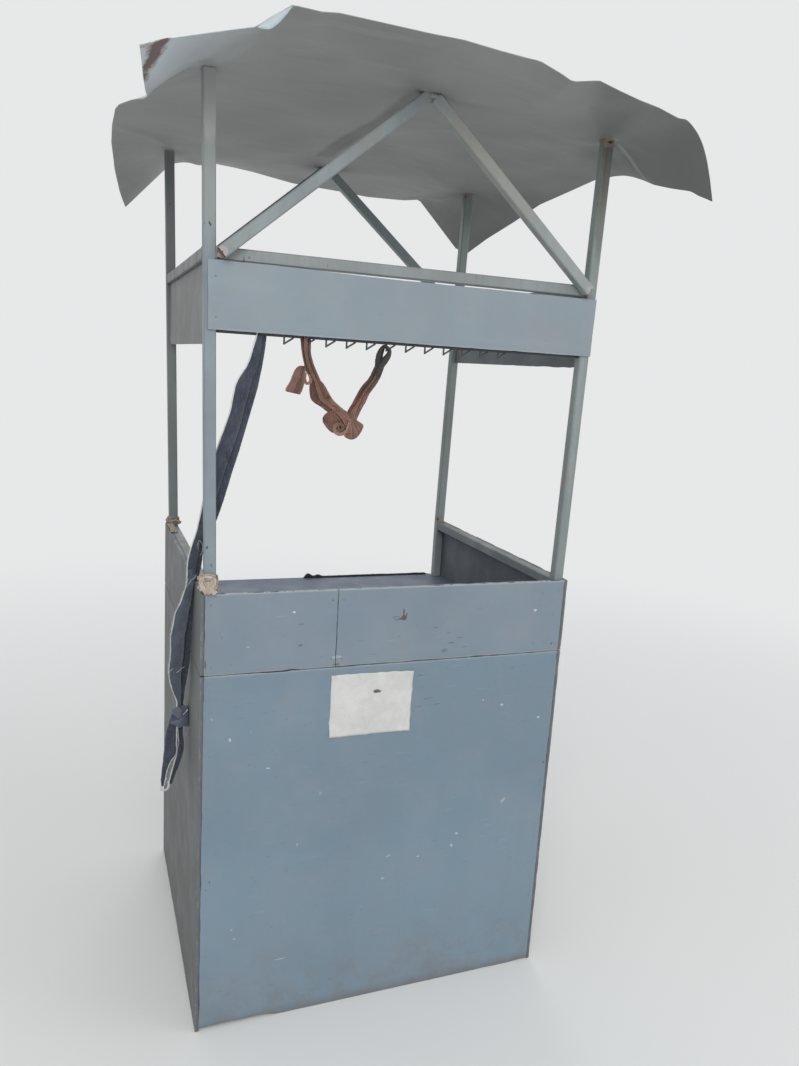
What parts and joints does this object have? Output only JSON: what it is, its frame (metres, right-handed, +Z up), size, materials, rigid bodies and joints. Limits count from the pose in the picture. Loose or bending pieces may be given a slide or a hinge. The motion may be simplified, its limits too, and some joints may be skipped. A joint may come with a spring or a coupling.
{
  "type": "street kiosk",
  "caption": "Boarded street kiosk with a recessed counter, tube posts, header boards, gable frames and a crumpled sheet roof.",
  "frame": {"origin": "on the ground at the middle of the boarded base", "axes": "+X to the right of a person facing the front, +Y to the rear, +Z up"},
  "size_m": [1.224, 1.212, 2.1973],
  "materials": {
    "board_paint": "worn paint",
    "board_inner": "dusty paint",
    "tube_paint": "worn paint",
    "sheet_paint": "dull paint with rust",
    "bare_steel": "dull",
    "denim": "faded",
    "rag": "dusty",
    "tape": "dusty",
    "black_rubber": "dull"
  },
  "bodies": {
    "root": {"front_board": "board_paint", "front_band_left": "board_paint", "front_band_right": "board_paint", "left_board": "board_paint", "left_upper_board": "board_paint", "right_board": "board_paint", "right_upper_board": "board_paint", "rear_board": "board_paint", "counter_top": "board_inner", "counter_frame": "tube_paint", "bottom_frame": "tube_paint", "left_board_rail": "tube_paint", "right_board_rail": "tube_paint", "post_front_left": "tube_paint", "post_front_right": "tube_paint", "post_rear_left": "tube_paint", "post_rear_right": "tube_paint", "front_rail": "tube_paint", "rear_rail": "tube_paint", "left_rail": "tube_paint", "right_rail": "tube_paint", "front_header": "board_paint", "left_header": "board_inner", "right_header": "board_inner", "front_gable_left": "tube_paint", "front_gable_right": "tube_paint", "rear_gable_left": "tube_paint", "rear_gable_right": "tube_paint", "roof_sheet": "sheet_paint", "hook_rail": "bare_steel", "denim_cloth": "denim", "orange_rag": "rag", "front_post_wrap": "tape", "rear_post_wrap": "tape", "counter_edge_strip": "black_rubber"}
  },
  "joints": []
}
